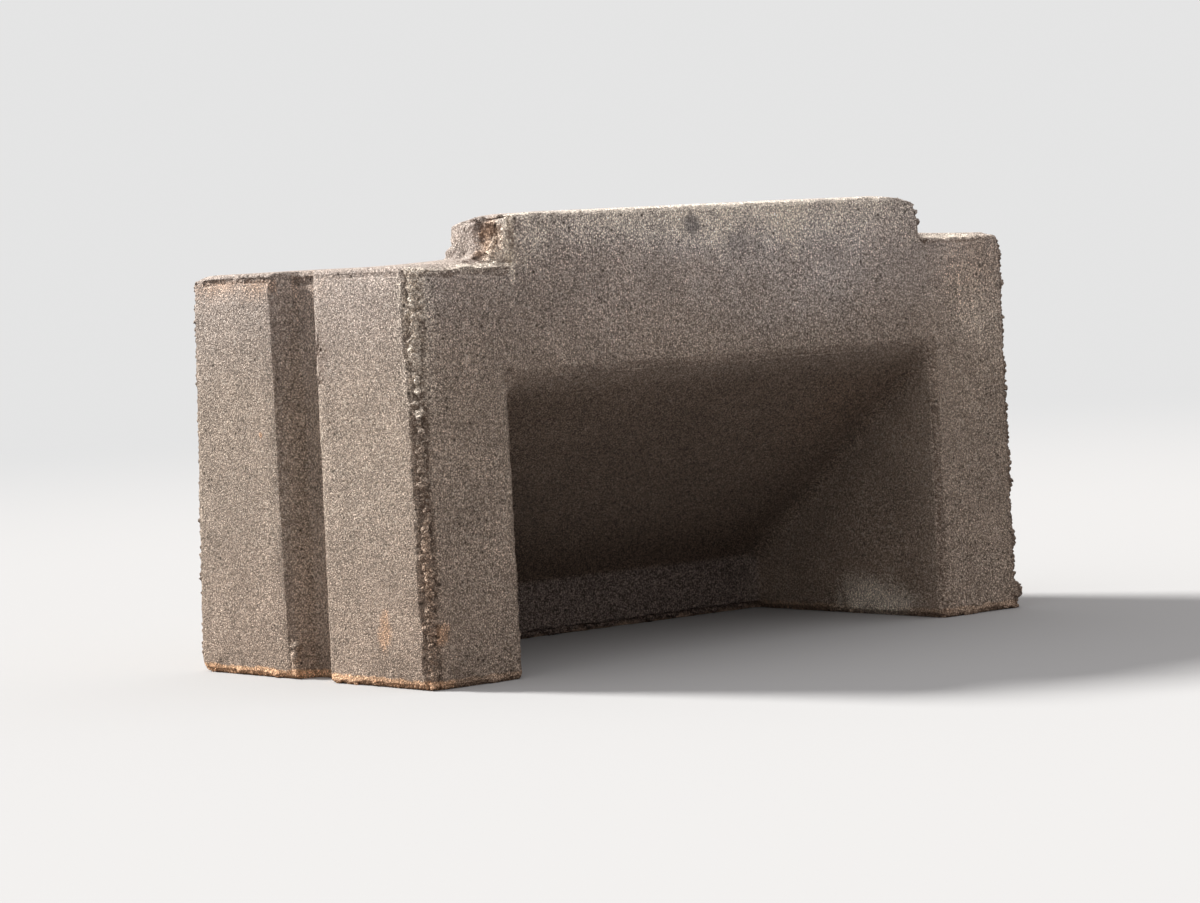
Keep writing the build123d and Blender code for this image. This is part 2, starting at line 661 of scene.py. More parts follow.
    def small_stains(self) -> list[Stain]:
        """List the patches of colour that are too small for the mesh to carry.

        Returns:
            The patches that the material draws.
        """
        left, front = self.sizes.low.x, self.sizes.low.y
        return [
            Stain(Tint.OCHRE, (left, -0.062, 0.027), (0.012, 0.0055, 0.0120), 0.60),
            Stain(Tint.OCHRE, (left + 0.0075, front, 0.026), (0.0045, 0.012, 0.0055), 0.60),
            Stain(Tint.OCHRE, (-0.139, front + 0.013, 0.211), (0.0085, 0.0095, 0.0110), 0.85),
            # Painted light on the lip's broken left end
            Stain(Tint.CHALK_AND_HIGHLIGHT, (-0.1365, front + 0.001, 0.207), (0.0034, 0.0050, 0.0170), 1.0),
            Stain(Tint.OCHRE, (left, 0.0318, 0.120), (0.006, 0.0014, 0.0018), 0.90),
            Stain(Tint.SOOT_AND_SHADE, (-0.022, front, 0.214), (0.0060, 0.012, 0.0070), 0.85),
            Stain(Tint.SOOT_AND_SHADE, (0.007, front, 0.203), (0.0110, 0.012, 0.0055), 0.45),
        ]

    def rubble(self) -> bmesh.types.BMesh:
        """Shape the clods.

        Returns:
            Their closed meshes, in one.
        """
        shapes = bmesh.new()
        for index, lump in enumerate(self.lumps()):
            made = bmesh.ops.create_icosphere(shapes, subdivisions=3, radius=1.0)["verts"]
            ball = np.array([vertex.co for vertex in made])
            swell = 1 + 0.35 * layered_noise(ball + 7.0 * index, 0.9, 3, 40 + index)
            for vertex, factor in zip(made, swell):
                place = vertex.co * float(factor) * lump.radius
                place.z *= lump.squash
                vertex.co = place + Vector(lump.middle)
        return shapes

    def casting(self) -> bpy.types.Object:
        """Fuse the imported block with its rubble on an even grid.

        Returns:
            The fused object.
        """
        shapes = self.rubble()
        shapes.from_mesh(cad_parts[NODE].data)
        mesh = bpy.data.meshes.new("weathered_block")
        shapes.to_mesh(mesh)
        shapes.free()
        piece = add_object("weathered_block", mesh)
        remesh = piece.modifiers.new("fuse", "REMESH")
        remesh.mode = "VOXEL"
        remesh.voxel_size = self.grid
        self.apply_modifiers(piece)
        return piece

    @staticmethod
    def apply_modifiers(piece: bpy.types.Object) -> None:
        """Replace a piece's mesh by what its modifiers make of it.

        Args:
            piece: the object whose modifiers are applied and removed.
        """
        evaluated = piece.evaluated_get(bpy.context.evaluated_depsgraph_get())
        made = bpy.data.meshes.new_from_object(evaluated)
        piece.modifiers.clear()
        old = piece.data
        piece.data = made
        bpy.data.meshes.remove(old)

    def refine(self, mesh: bpy.types.Mesh, lines: Sequence[Arris], margin: float) -> None:
        """Halve the mesh's edges near some of the crumbled lines.

        Args:
            mesh: the mesh to refine.
            lines: the lines along which it is refined.
            margin: how far beyond each line's width the finer mesh reaches.
        """
        data = MeshData(mesh)
        near = np.zeros(len(data.places), dtype=bool)
        for line in lines:
            near |= line.distance(data.places) < line.width + margin
        chosen = np.nonzero(near[data.edges].all(axis=1))[0]
        shapes = bmesh.new()
        shapes.from_mesh(mesh)
        shapes.edges.ensure_lookup_table()
        edges = [shapes.edges[index] for index in chosen]
        bmesh.ops.subdivide_edges(shapes, edges=edges, cuts=1, use_grid_fill=True)
        shapes.to_mesh(mesh)
        shapes.free()

    def sweep(self, data: MeshData) -> None:
        """Raise the top of the body a little towards the foot of the lip.

        Args:
            data: the casting, which is shaped in place.
        """
        s = self.sizes
        x, y, z = data.places.T
        apart = np.hypot(np.maximum(np.abs(x) - s.lip_x, 0), np.maximum(y - s.lip_back, 0))
        height = np.where(x < 0, self.left_sweep, self.right_sweep)
        height = height * np.exp(-apart / np.where(x < 0, self.left_sweep_run, self.right_sweep_run))
        height *= ramp(y, s.low.y - 0.001, s.low.y + 0.013) * ramp(z, s.body_height - 0.004, s.body_height)
        onto_lip = (np.abs(x) < s.lip_x + 0.0005) & (y < s.lip_back + 0.0005)
        data.places[:, 2] += np.where(onto_lip, 0.0, height)

    @staticmethod
    def ragged(places: np.ndarray) -> np.ndarray:
        """Give the noise from -1 to 1 that frays the rims of bands and stains."""
        return layered_noise(places, 0.009, 3, 21)

    def weather(self, data: MeshData) -> dict[Tint, np.ndarray]:
        """Crumble the casting along its lines and let its faces swell a little.

        Args:
            data: the casting, which is carved in place.

        Returns:
            How raw each vertex is, and how much painted shade it takes between the crumbs.
        """
        normals = data.softened(data.normals(), 5)
        normals /= np.linalg.norm(normals, axis=1, keepdims=True)
        places = data.places
        ragged = self.ragged(places)
        height = self.swell_height * layered_noise(places, self.swell_size, 2, 71)
        amounts = {tint: np.zeros(len(places)) for tint in self.carved_tints}
        deepest = np.zeros(len(places))
        for line in self.arrises():
            near = np.nonzero(line.distance(places) < line.width * BAND_RIM)[0]
            spots = places[near]
            band = line.reach(spots, ragged[near])
            notch = ramp(layered_noise(spots, 0.012, 2, 31), 0.15, 0.75)
            depth = line.depth * (0.35 + 0.35 * ragged[near] + 0.75 * notch)
            coarse = grain_bulge(spots, line.crumb, 51)
            small = grain_bulge(spots, line.crumb * 0.5, 61)
            grit = layered_noise(spots, line.crumb * 0.45, 2, 65)
            strength = min(1.0, (line.depth + 0.5 * line.burrs) / self.full_depth)
            crumbs = line.crumb * strength * (0.85 * (coarse - 0.85) + 0.30 * (small - 0.8) + 0.10 * grit)
            burrs = line.burrs * ramp(layered_noise(spots, 0.010, 3, 35), -0.15, 0.75)
            change = band * (crumbs + burrs - np.maximum(depth, 0.0))
            stronger = np.abs(change) > np.abs(deepest[near])
            deepest[near] = np.where(stronger, change, deepest[near])
            # Painted shade between the crumbs, where the grains fall away
            between = ramp(0.7 * coarse + 0.3 * small, 0.26, 0.04)
            lift(amounts[Tint.CREVICE_SHADE], near, band * strength * between)
            lift(amounts[Tint.RAW], near, band * strength)
        data.places = places + normals * (height + deepest)[:, None]
        return amounts

    def wear(self, data: MeshData, raw: np.ndarray) -> None:
        """Wear corners and edges off to their planes.

        Args:
            data: the casting, which is carved in place.
            raw: how raw each vertex is, raised where it is worn.
        """
        for index, corner in enumerate(self.wears()):
            outward = np.array(corner.outward) / np.linalg.norm(corner.outward)
            apart = line_distance(data.places, corner.start, corner.end)
            near = np.nonzero(apart < corner.reach)[0]
            rough = corner.roughness * layered_noise(data.places[near], 0.004, 3, 160 + index)
            proud = ((data.places[near] - np.array(corner.start)) @ outward + rough) / corner.rounding
            fade = ramp(apart[near], corner.reach, corner.reach * 0.7)
            cut = corner.rounding * np.logaddexp(0, np.minimum(proud, 40)) * fade
            data.places[near] -= cut[:, None] * outward
            lift(raw, near, 0.5 * ramp(cut, 0.0004, 0.0016))

    def carve(self, data: MeshData, amounts: dict[Tint, np.ndarray]) -> None:
        """Break the bites out of the casting.

        Args:
            data: the casting, which is carved in place.
            amounts: how raw each vertex is and how much painted shade it takes between crumbs, raised by a
                bite.
        """
        for index, bite in enumerate(self.bites()):
            middle, stretch = np.array(bite.middle), np.array(bite.stretch)
            away = (data.places - middle) / stretch
            gap = np.linalg.norm(away, axis=1)
            near = np.nonzero(gap < bite.radius * 1.8)[0]
            spots = data.places[near]
            bulge = grain_bulge(spots, self.bite_crumb, 90 + index)
            rough = bite.roughness * layered_noise(spots, min(bite.radius * 0.8, 0.006), 3, 80 + index)
            reach = bite.radius * (1 + rough) + 0.55 * self.bite_crumb * (0.5 - bulge)
            push = np.maximum(reach / np.maximum(gap[near], 1e-6), 1.0)[:, None]
            data.places[near] = middle + away[near] * push * stretch
            cut = ramp(gap[near], reach + self.bite_crumb, reach)
            lift(amounts[Tint.RAW], near, cut)
            # Painted shade between the crumbs of the broken surface
            lift(amounts[Tint.CREVICE_SHADE], near, 0.8 * cut * ramp(bulge, 0.22, 0.02))

    def reduce(self, piece: bpy.types.Object) -> None:
        """Bring the casting down to the triangle limit, where its flat parts give way first.

        Args:
            piece: the object whose mesh is reduced.
        """
        triangles = sum(len(face.vertices) - 2 for face in piece.data.polygons)
        modifier = piece.modifiers.new("reduce", "DECIMATE")
        modifier.ratio = self.triangle_limit / triangles
        modifier.use_collapse_triangulate = True
        self.apply_modifiers(piece)

    def paint(self, data: MeshData) -> None:
        """Work out each tint's strength over the block and keep it on the mesh.

        Args:
            data: the finished casting.
        """
        s, places = self.sizes, data.places
        low, high, top = s.low, s.high, s.body_height
        ragged = self.ragged(places)
        broad = layered_noise(places, 0.060, 3, 111)
        x, y, z = places.T
        aside = np.abs(x)
        amounts = {tint: np.zeros(len(places)) for tint in Tint if tint not in self.carved_tints}

        # Orange mortar at the foot, most on the left end, and at the brow of both ends
        ends = ramp(aside, high.x - 0.016, high.x - 0.011)
        rearward = ramp(y + 0.01 * broad, -0.05, 0.03)
        left_end = ends * (x < 0)
        amounts[Tint.FOOT] += ramp(z, 0.030, 0.015) * (0.24 + left_end * (0.50 + 0.20 * rearward))
        amounts[Tint.OCHRE] += ramp(z + 0.004 * ragged, 0.012, 0.001) * 0.03
        brow = ramp(z + 0.002 * ragged, top - 0.012, top - 0.006) * ramp(z, top - 0.0015, top - 0.0045)
        amounts[Tint.OCHRE] += 0.45 * brow * ends * rearward * ramp(broad, -0.6, 0.2)

        # The hollow is browner inside, partly its own brown and partly painted shade that deepens towards
        # its back wall and middle; the strip at its back is darkened with painted shade
        hollow = (
            ramp(aside, s.inner_x + 0.002, s.inner_x - 0.002)
            * ramp(y, low.y + 0.002, low.y + 0.016)
            * ramp(y, s.wall_y + 0.006, s.wall_y + 0.002)
            * ramp(z, s.mouth_height + 0.004, s.mouth_height - 0.004)
        )
        # Painted shade, deeper towards the back wall and the middle
        inward_shade = ramp(y, 0.0, s.wall_y - 0.004) * ramp(aside, s.inner_x, 0.120)
        amounts[Tint.UMBER_AND_SHADE] += hollow * (0.60 + 0.40 * inward_shade)
        strip = hollow * ramp(z, s.strip_height + 0.003, s.strip_height - 0.002)
        strip *= ramp(y, s.wall_y - 0.004, s.wall_y - 0.001)
        # Painted shade on the strip at the back of the hollow
        amounts[Tint.SOOT_AND_SHADE] += 0.50 * strip

        # The key grooves are browner too, on their front flank and floor
        groove = (
            ramp(aside, high.x - 0.004, high.x - 0.009)
            * ramp(aside, high.x - 0.014, high.x - 0.0125)
            * ramp(y, s.groove_rear_y + 0.002, s.groove_rear_y - 0.004)
            * ramp(y, -0.024, -0.018)
        )
        amounts[Tint.UMBER_AND_SHADE] += 0.34 * groove

        for stain in self.stains():
            reach = (places - np.array(stain.middle)) / np.array(stain.radii)
            fall = np.exp(-1.2 * np.sum(reach**2, axis=1))
            amounts[stain.tint] += stain.strength * fall * (1 + 0.5 * ragged)
        self.keep(data.mesh, amounts)

    @staticmethod
    def keep(mesh: bpy.types.Mesh, amounts: dict[Tint, np.ndarray]) -> None:
        """Keep tints' strengths on a mesh.

        Args:
            mesh: the mesh.
            amounts: each tint's strength at each vertex.
        """
        for tint, values in amounts.items():
            layer = mesh.attributes.new(tint.value, "FLOAT", "POINT")
            layer.data.foreach_set("value", np.clip(values, 0, 1).astype(np.float32))

    @staticmethod
    def ground(data: MeshData) -> None:
        """Lift what lies below the ground onto it, and write the mesh."""
        data.places[:, 2] = np.maximum(data.places[:, 2], 0.0)
        data.write()

    def build(self) -> tuple[bpy.types.Object, bpy.types.Object]:
        """Make the block and the crumbs that lie in its crumbled parts.

        Returns:
            The two finished objects, without their material.
        """
        piece = self.casting()
        log.info("fused casting: %d vertices", len(piece.data.vertices))
        lines = self.arrises()
        self.refine(piece.data, lines, self.grid * 2)
        self.refine(piece.data, [line for line in lines if line.rough], self.grid)
        log.info("refined casting: %d vertices", len(piece.data.vertices))
        data = MeshData(piece.data)
        self.sweep(data)
        carved = self.weather(data)
        self.wear(data, carved[Tint.RAW])
        self.carve(data, carved)
        self.ground(data)
        coarse = ramp(line_distance(data.places, *self.main_arris()), 0.012, 0.007)
        crumbs = Crumbs().build(data.places, data.normals(), carved[Tint.RAW], coarse)
        self.keep(piece.data, carved)
        self.keep(crumbs.data, {Tint.RAW: np.full(len(crumbs.data.vertices), 0.5)})
        self.paint(MeshData(crumbs.data))
        log.info("carved")
        self.reduce(piece)
        data = MeshData(piece.data)
        self.ground(data)
        self.paint(data)
        piece.data.polygons.foreach_set("use_smooth", np.ones(len(piece.data.polygons), dtype=bool))
        return piece, crumbs


@dataclass
class Crumbs:
    """Loose-looking grit and gravel that sits half sunk in the crumbled parts of the casting."""

    count: int = 2300
    smallest: float = 0.0006
    largest: float = 0.0018
    sunk: float = 0.30
    shapes: int = 12
    lumpiness: float = 0.70
    thinnest: float = 0.40
    seed: int = 5
    favour: float = 3.0

    def prototypes(self) -> tuple[np.ndarray, np.ndarray]:
        """Shape a few pieces of grit.

        Returns:
            Their vertices, one shape to a row, and the faces that they share.
        """
        ball = bmesh.new()
        bmesh.ops.create_icosphere(ball, subdivisions=2, radius=1.0)
        sphere = np.array([vertex.co for vertex in ball.verts])
        faces = np.array([[vertex.index for vertex in face.verts] for face in ball.faces])
        ball.free()
        shaped = []
        for index in range(self.shapes):
            swell = 1 + self.lumpiness * layered_noise(sphere + 9.0 * index, 1.1, 2, 140 + index)
            shaped.append(sphere * np.maximum(swell, self.thinnest)[:, None])
        return np.array(shaped), faces

    def build(
        self, places: np.ndarray, normals: np.ndarray, raw: np.ndarray, coarse: np.ndarray
    ) -> bpy.types.Object:
        """Scatter the grit over the raw parts of a surface.

        Args:
            places: the surface's vertices, three to a row.
            normals: its outward normals.
            raw: how raw each vertex is, from 0 to 1.
            coarse: the same for where more and larger grit lies.

        Returns:
            All the grit in one object.
        """
        random = np.random.default_rng(self.seed)
        patches = ramp(layered_noise(places, 0.016, 3, 151), -0.5, 0.6)
        weight = raw**2 * (0.10 + patches) * (1 + self.favour * coarse)
        spots = random.choice(len(places), size=self.count, replace=False, p=weight / weight.sum())
        share = random.random(self.count) ** (2.2 - coarse[spots])
        radius = (self.smallest + (self.largest - self.smallest) * share) * (0.45 + 0.55 * raw[spots])
        shapes, faces = self.prototypes()
        chosen = shapes[random.integers(0, self.shapes, self.count)]
        chosen = chosen * (radius[:, None] * random.uniform(0.7, 1.15, (self.count, 3)))[:, None, :]
        turns, _ = np.linalg.qr(random.normal(size=(self.count, 3, 3)))
        turned = np.einsum("nvi,nij->nvj", chosen, turns)
        middles = places[spots] - normals[spots] * (radius * self.sunk)[:, None]
        points = (turned + middles[:, None, :]).reshape(-1, 3)
        points[:, 2] = np.maximum(points[:, 2], 0.0)
        flipped = np.linalg.det(turns) < 0
        corners = faces[None, :, :] + (np.arange(self.count) * shapes.shape[1])[:, None, None]
        corners[flipped] = corners[flipped][:, :, ::-1]
        mesh = bpy.data.meshes.new("arris_crumbs")
        mesh.from_pydata(points.tolist(), [], corners.reshape(-1, 3).tolist())
        return add_object("arris_crumbs", mesh)


@dataclass(frozen=True)
class Wire:
    """A value that runs from one shader node to the next, with plain arithmetic on numbers."""

    bench: "NodeBench"
    socket: bpy.types.NodeSocket

    def __add__(self, other: object) -> "Wire":
        """Add another value."""
        return self.bench.math("ADD", self, other)

    def __sub__(self, other: object) -> "Wire":
        """Take another value away."""
        return self.bench.math("SUBTRACT", self, other)

    def __rsub__(self, other: object) -> "Wire":
        """Take this value away from another."""
        return self.bench.math("SUBTRACT", other, self)

    def __mul__(self, other: object) -> "Wire":
        """Multiply by another value."""
        return self.bench.math("MULTIPLY", self, other)


class NodeBench:
    """Builds the nodes of one material, or of the world."""

    def __init__(self, owner: bpy.types.Material | bpy.types.World) -> None:
        """Start without nodes.

        Args:
            owner: the new material or world.
        """
        self.owner = owner
        owner.use_nodes = True
        self.tree = owner.node_tree
        self.tree.nodes.clear()

    def add(
        self, kind: str, *values: object, settings: dict | None = None, **inputs: object
    ) -> bpy.types.bpy_prop_collection:
        """Add a shader node.

        Args:
            kind: its Blender type, less the words ShaderNode in front.
            *values: values or wires for its first inputs.
            settings: its properties.
            **inputs: values or wires for other inputs, by name with spaces as underscores.

        Returns:
            The node's outputs.
        """
        node = self.tree.nodes.new(f"ShaderNode{kind}")
        for key, value in (settings or {}).items():
            setattr(node, key, value)
        for socket, value in zip(node.inputs, values):
            self.feed(socket, value)
        for key, value in inputs.items():
            self.feed(node.inputs[key.replace("_", " ")], value)
        return node.outputs

    def wire(self, kind: str, output: int | str, *values: object, **options: object) -> Wire:
        """Add a node as add does, and give one of its outputs, by number or name."""
        return Wire(self, self.add(kind, *values, **options)[output])

    @cached_property
    def place(self) -> Wire:
        """The place on the object, in metres."""
        return self.wire("TexCoord", "Object")

    def feed(self, socket: bpy.types.NodeSocket, value: object) -> None:
        """Link a socket to an output, or set its value.

        Args:
            socket: the input.
            value: a wire, an output socket, a colour without its alpha or a plain value.
        """
        source = value.socket if isinstance(value, Wire) else value
        if isinstance(source, bpy.types.NodeSocket):
            self.tree.links.new(source, socket)
        elif socket.type == "RGBA":
            socket.default_value = (*source, 1.0)
        else:
            socket.default_value = source

    def math(self, operation: str, first: object, second: object = 0.0) -> Wire:
        """Do one sum, named as Blender names it, on numbers or wires."""
        return self.wire("Math", 0, first, second, settings={"operation": operation})

    def vector(self, operation: str, output: int | str, *values: object) -> Wire:
        """Do one sum, named as Blender names it, on vectors."""
        return self.wire("VectorMath", output, *values, settings={"operation": operation})

    def spread(
        self, value: Wire, low: float, high: float, to: tuple[float, float] = (0.0, 1.0)
    ) -> Wire:
        """Ease a value from one range to another.

        Args:
            value: what is eased.
            low: the value that gives the first of to.
            high: the value that gives the second.
            to: the range that comes out.

        Returns:
            The eased value.
        """
        smooth = {"interpolation_type": "SMOOTHSTEP"}
        return self.wire("MapRange", 0, value, low, high, *to, settings=smooth)

    def blend(self, amount: object, first: object, second: object, mode: str = "MIX") -> Wire:
        """Blend two colours.

        Args:
            amount: how much of the second.
            first: a colour or a wire.
            second: a colour or a wire.
            mode: Blender's blend type.

        Returns:
            The blended colour.
        """
        node = self.tree.nodes.new("ShaderNodeMix")
        node.data_type = "RGBA"
        node.blend_type = mode
        for index, value in ((0, amount), (6, first), (7, second)):
            self.feed(node.inputs[index], value)
        return Wire(self, node.outputs[2])

    def toned(self, colour: object, factor: Wire) -> Wire:
        """Lighten or darken a colour by a factor."""
        grey = self.wire("CombineColor", 0, factor, factor, factor)
        return self.blend(1.0, colour, grey, "MULTIPLY")

    def noise(self, scale: float, detail: float) -> Wire:
        """Add a noise from 0 to 1, of so many swells to the metre."""
        return self.wire("TexNoise", "Fac", Vector=self.place, Scale=scale, Detail=detail)

    def cells(
        self, scale: float, randomness: float = 1.0, place: Wire | None = None
    ) -> tuple[Wire, list[Wire]]:
        """Pack space with cells.

        Args:
            scale: how many cells there are to the metre.
            randomness: how unevenly they lie.
            place: the place at which they are read, if not the object's own.

        Returns:
            The distance to the nearest cell's middle, and three random numbers of that cell.
        """
        made = self.add("TexVoronoi", Vector=place or self.place, Scale=scale, Randomness=randomness)
        picks = self.add("SeparateColor", made["Color"])
        return Wire(self, made["Distance"]), [Wire(self, pick) for pick in picks]

    def attribute(self, tint: Tint) -> Wire:
        """Read a tint's strength from the mesh."""
        return self.wire("Attribute", "Fac", settings={"attribute_name": tint.value})

    def finish(self, shader: Wire) -> bpy.types.Material | bpy.types.World:
        """Send a shader to the output.

        Args:
            shader: what the surface or the world shows.

        Returns:
            The finished material or world.
        """
        kind = "OutputWorld" if isinstance(self.owner, bpy.types.World) else "OutputMaterial"
        self.add(kind, shader)
        return self.owner


@dataclass(frozen=True)
class ConcreteFinish:
    """Sandy brown concrete: packed grains in a cement skin, pitted and stained, with painted shade in its
    pits and crevices and painted highlights on lit edges.
    """

    sand: Colour = (0.350, 0.286, 0.232)
    pale_grain: Colour = (0.640, 0.560, 0.470)
    brown_grain: Colour = (0.235, 0.170, 0.122)
    # Painted shade in the pits
    pit_shade: Colour = (0.060, 0.046, 0.036)
    # Painted shade between crumbs
    crevice: Colour = (0.115, 0.072, 0.052)
    ochre: Colour = (0.620, 0.365, 0.210)
    # Pale bloom, also painted highlights
    chalk: Colour = (0.880, 0.785, 0.665)
    # Dark smudges, also painted shade at the back of the hollow
    soot: Colour = (0.110, 0.105, 0.115)
    slate: Colour = (0.640, 0.600, 0.580)
    # Brown, also painted shade in the hollow and the left groove
    umber: Colour = (0.125, 0.088, 0.064)
    top_light: Colour = (1.17, 1.22, 1.33)
    foot_light: Colour = (0.94, 0.90, 0.88)
    grains_per_metre: float = 1100.0
    grain_share: float = 0.25
    noise_share: float = 2.0
    beads_per_metre: float = 1150.0
    bead_share: float = 0.8
    bead_randomness: float = 0.65
    bead_middle: float = 0.50
    bead_turn: Place = (0.60, 0.47, 0.83)
    tone_gain: float = 1.95
    umber_gain: float = 1.6
    tone_scale: float = 0.80
    tone_limit: float = 2.6
    # How the gaps between crumbs on raw parts take painted shade
    gap_shade_start: float = 0.44
    gap_shade_end: float = 0.66
    gap_shade_share: float = 0.70
    pits_per_metre: float = 300.0
    roughness: float = 0.95
    specular: float = 0.15
    relief: float = 0.00042
    foot_band: Colour = (0.740, 0.450, 0.265)
    foot_band_top: float = 0.0052
    foot_band_fade: float = 0.0014
    foot_band_fray: float = 0.0040
    spots: tuple[Stain, ...] = ()

    def material(self) -> bpy.types.Material:
        """Build the material.

        Returns:
            The finished material.
        """
        bench = NodeBench(bpy.data.materials.new("sandy_concrete"))
        height = bench.wire("SeparateXYZ", "Z", bench.place)
        grain, picks = bench.cells(self.grains_per_metre)
        crumb, _ = bench.cells(self.grains_per_metre * 0.5)
        fine = bench.noise(self.grains_per_metre * 1.6, 1.0)
        drift = bench.noise(150.0, 3.0)

        tone = self.tone(bench, picks[0], fine)
        gain = bench.attribute(Tint.UMBER_AND_SHADE) * self.umber_gain + self.tone_gain
        factor = bench.math("EXPONENT", (tone - 0.5) * gain) * self.tone_scale
        factor = bench.math("MINIMUM", factor, self.tone_limit)
        colour = self.sandy(bench, picks, factor)
        colour = self.graded_by_height(bench, height, colour)
        colour = self.footed(bench, height, colour, factor, drift)
        # Stains and painted light alike: the pale tint also paints highlights, the brown and dark tints
        # also paint shade
        for tint, paint, most in (
            (Tint.SLATE, self.slate, 0.80),
            (Tint.UMBER_AND_SHADE, self.umber, 0.85),
            (Tint.OCHRE, self.ochre, 0.80),
            (Tint.CHALK_AND_HIGHLIGHT, self.chalk, 0.85),
            (Tint.SOOT_AND_SHADE, self.soot, 0.75),
        ):
            strength = bench.attribute(tint)
            for stain in self.spots:
                if stain.tint is tint:
                    strength = strength + self.spot(bench, stain, drift)
            strength = bench.math("MINIMUM", strength, 1.0)
            amount = strength * bench.spread(strength + (tone - 0.5), -0.1, 0.7)
            colour = bench.blend(amount * most, colour, bench.toned(paint, factor))

        raw = bench.attribute(Tint.RAW)
        hole = self.pits(bench, fine)
        # Painted shade in the gaps between crumbs on raw parts
        gap = bench.spread(crumb + (fine - 0.5) * 0.5, self.gap_shade_start, self.gap_shade_end)
        gap = gap * raw * (1.0 - bench.attribute(Tint.FOOT))
        # Painted shade between crumbs, in their gaps and in the pits
        for amount, paint in (
            (bench.attribute(Tint.CREVICE_SHADE) * 0.60, self.crevice),
            (gap * self.gap_shade_share, self.crevice),
            (hole * 0.92, self.pit_shade),
        ):
            colour = bench.blend(amount, colour, paint)

        round_grain, lumpy = (bench.spread(cell, 0.70, 0.05) for cell in (grain, crumb))
        bulge = round_grain * 0.45 + fine * 1.10 + lumpy * (raw * 0.9) - hole * 1.5
        bump = bench.wire("Bump", 0, Strength=1.0, Distance=self.relief, Height=bulge)
        return bench.finish(bench.wire(
            "BsdfPrincipled", 0, Base_Color=colour, Roughness=self.roughness, Normal=bump,
            Specular_IOR_Level=self.specular,
        ))

    def tone(self, bench: NodeBench, pick: Wire, fine: Wire) -> Wire:
        """Say how light each grain is, from about 0 to 1.

        Args:
            bench: where the nodes are built.
            pick: the grain's random number.
            fine: the finest noise.

        Returns:
            The tone, 0.5 on average.
        """
        turned = bench.wire("Mapping", 0, Vector=bench.place, Rotation=self.bead_turn)
        bead, _ = bench.cells(self.beads_per_metre, self.bead_randomness, turned)
        excess = (self.grain_share + self.noise_share - 1) / 2 - self.bead_middle * self.bead_share
        return pick * self.grain_share + fine * self.noise_share - bead * self.bead_share - excess

    def sandy(self, bench: NodeBench, picks: Sequence[Wire], factor: Wire) -> Wire:
        """Colour the plain concrete: sand, a few pale and brown grains, and soft patches.

        Args:
            bench: where the nodes are built.
            picks: each grain's random numbers.
            factor: how light each grain is.

        Returns:
            The concrete's colour.
        """
        sand = bench.toned(self.sand, factor)
        sand = bench.blend(bench.spread(picks[1], 0.93, 0.98, (0.0, 0.55)), sand, self.pale_grain)
        sand = bench.blend(bench.spread(picks[2], 0.80, 0.95, (0.0, 0.30)), sand, self.brown_grain)
        patch, cloud = bench.noise(45.0, 2.0), bench.noise(11.0, 3.0)
        sand = bench.toned(sand, bench.spread(patch, 0.30, 0.70, (0.93, 1.07)))
        return bench.toned(sand, bench.spread(cloud, 0.32, 0.68, (0.95, 1.05)))

    def graded_by_height(self, bench: NodeBench, height: Wire, sand: Wire) -> Wire:
        """Make the sand lighter and bluer towards the top and darker and warmer towards the foot.

        Args:
            bench: where the nodes are built.
            height: how high the place lies.
            sand: the colour that is graded.

        Returns:
            The aged colour.
        """
        level = height + (bench.noise(16.0, 3.0) - 0.5) * 0.05
        low = bench.blend(bench.spread(level, 0.10, 0.00), (1.0, 1.0, 1.0), self.foot_light)
        high = bench.blend(bench.spread(level, 0.12, 0.22), low, self.top_light)
        return bench.blend(1.0, sand, high, "MULTIPLY")

    def footed(self, bench: NodeBench, height: Wire, sand: Wire, factor: Wire, drift: Wire) -> Wire:
        """Draw the orange band of mortar along the foot.

        Args:
            bench: where the nodes are built.
            height: how high the place lies.
            sand: the colour under the band.
            factor: how light each grain is.
            drift: a noise from 0 to 1, which frays the band's upper rim.

        Returns:
            The colour with the band.
        """
        level = height + (drift - 0.5) * self.foot_band_fray
        band = bench.spread(level, self.foot_band_top, self.foot_band_top - self.foot_band_fade)
        band = band * bench.attribute(Tint.FOOT)
        return bench.blend(band, sand, bench.toned(self.foot_band, factor))

    @staticmethod
    def spot(bench: NodeBench, stain: Stain, drift: Wire) -> Wire:
        """Draw one small stain by its place.

        Args:
            bench: where the nodes are built.
            stain: the stain to draw.
            drift: a noise from 0 to 1, which frays the stain's rim.

        Returns:
            The stain's strength.
        """
        away = bench.vector("SUBTRACT", 0, bench.place, stain.middle)
        reach = bench.vector("LENGTH", "Value", bench.vector("DIVIDE", 0, away, stain.radii))
        return bench.spread(reach + (drift - 0.5) * 1.6, 1.3, 0.4, (0.0, stain.strength))

    def pits(self, bench: NodeBench, fine: Wire) -> Wire:
        """Scatter small ragged pits, in a little under a fifth of their cells, which the material darkens
        as painted shade.

        Args:
            bench: where the nodes are built.
            fine: the finest noise, which frays the pits' rims.

        Returns:
            From 0 outside the pits to 1 in them.
        """
        distance, picks = bench.cells(self.pits_per_metre)
        size = bench.spread(picks[1], 0.2, 1.0, (0.05, 0.22))
        edge = size - distance + (fine - 0.5) * 0.55
        return bench.spread(edge, -0.03, 0.05) * bench.spread(picks[0], 0.80, 0.84)


